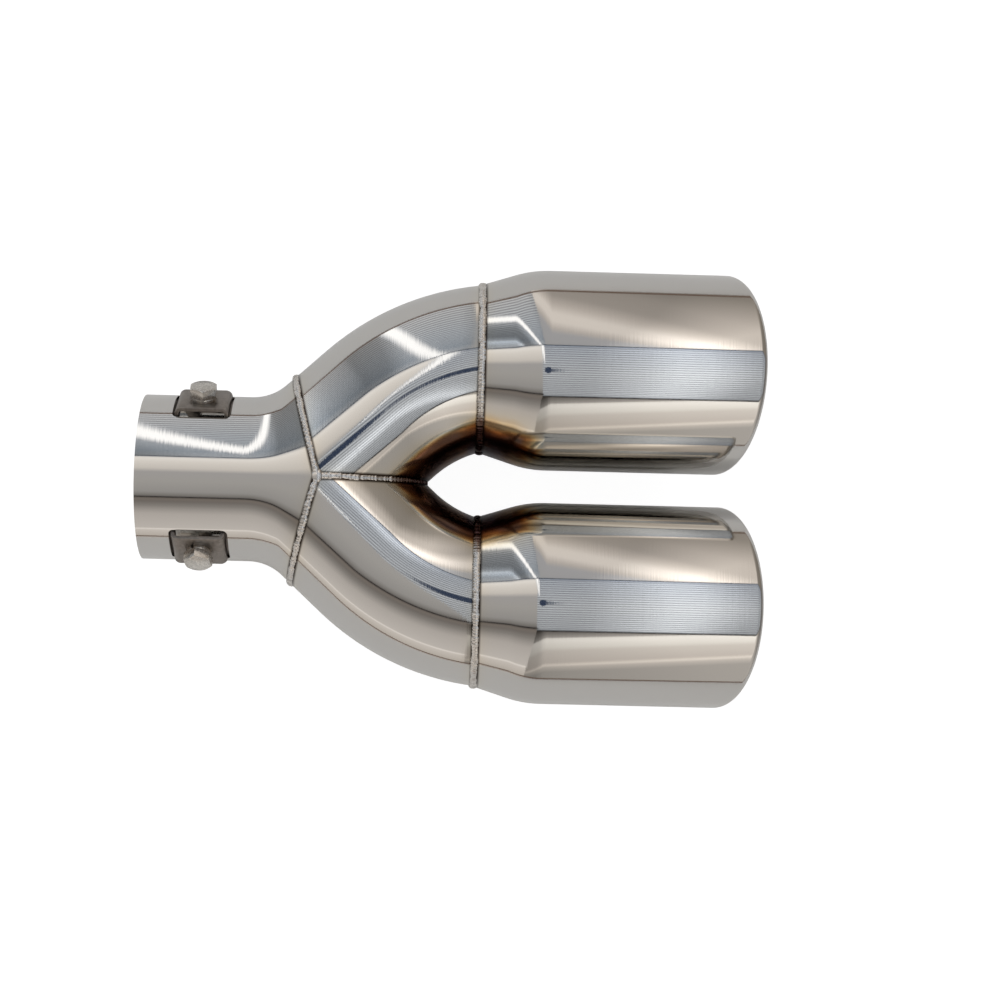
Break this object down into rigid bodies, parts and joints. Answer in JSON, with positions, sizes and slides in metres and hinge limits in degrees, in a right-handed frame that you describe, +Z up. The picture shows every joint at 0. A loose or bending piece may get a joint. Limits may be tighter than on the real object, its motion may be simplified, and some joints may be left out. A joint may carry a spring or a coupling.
{
  "type": "dual exhaust tip",
  "caption": "Clamp-on dual exhaust tip: round inlet collar, two bent legs in a Y, round slant-cut outlets with rolled edges, in polished stainless steel.",
  "frame": {"origin": "clamp centre: the point on the inlet axis where the axes of the clamp bolts meet", "axes": "+X along the inlet axis towards the outlets, +Y to the left outlet, +Z up"},
  "size_m": [0.2425, 0.1732, 0.0801],
  "materials": {
    "polished_stainless": "mirror polished",
    "weld_metal": "as welded",
    "bracket_sheet": "dull dark",
    "fastener_steel": "satin"
  },
  "bodies": {
    "root": {"inlet_collar": "polished_stainless", "leg_left": "polished_stainless", "leg_right": "polished_stainless", "tip_left": "polished_stainless", "tip_right": "polished_stainless", "weld_mitre_left": "weld_metal", "weld_mitre_right": "weld_metal", "weld_crotch": "weld_metal", "weld_tip_left": "weld_metal", "weld_tip_right": "weld_metal", "bracket_left": "bracket_sheet", "spring_washer_left": "fastener_steel", "clamp_bolt_left": "fastener_steel", "bracket_right": "bracket_sheet", "spring_washer_right": "fastener_steel", "clamp_bolt_right": "fastener_steel", "bracket_bottom": "bracket_sheet", "spring_washer_bottom": "fastener_steel", "clamp_bolt_bottom": "fastener_steel"}
  },
  "joints": []
}
